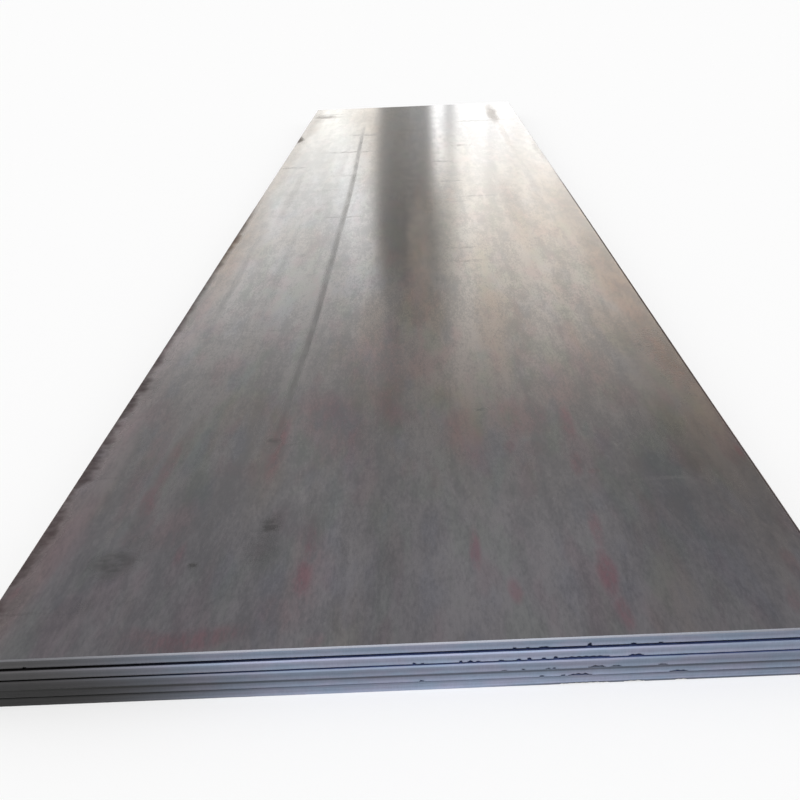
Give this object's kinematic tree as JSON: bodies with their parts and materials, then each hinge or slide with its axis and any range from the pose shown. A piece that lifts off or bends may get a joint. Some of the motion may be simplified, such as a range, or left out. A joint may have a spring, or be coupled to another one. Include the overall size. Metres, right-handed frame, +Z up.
{
  "type": "stack of steel plates",
  "caption": "Close stack of hot-rolled steel plates with sheared edges, lying flat; each plate rests on the one below where their shallow waves meet.",
  "frame": {"origin": "middle of the stack's box, at floor level", "axes": "+Y along the plates, front end at -Y; +X to the right seen from the front; +Z up"},
  "size_m": [1.5072, 6.0058, 0.1051],
  "materials": {
    "rolled_steel": "hot-rolled, dark grey mill scale with a dull sheen; bare sheared edges"
  },
  "bodies": {
    "root": {"bottom_plate": "rolled_steel", "fourth_plate": "rolled_steel", "third_plate": "rolled_steel", "second_plate": "rolled_steel", "top_plate": "rolled_steel"}
  },
  "joints": []
}
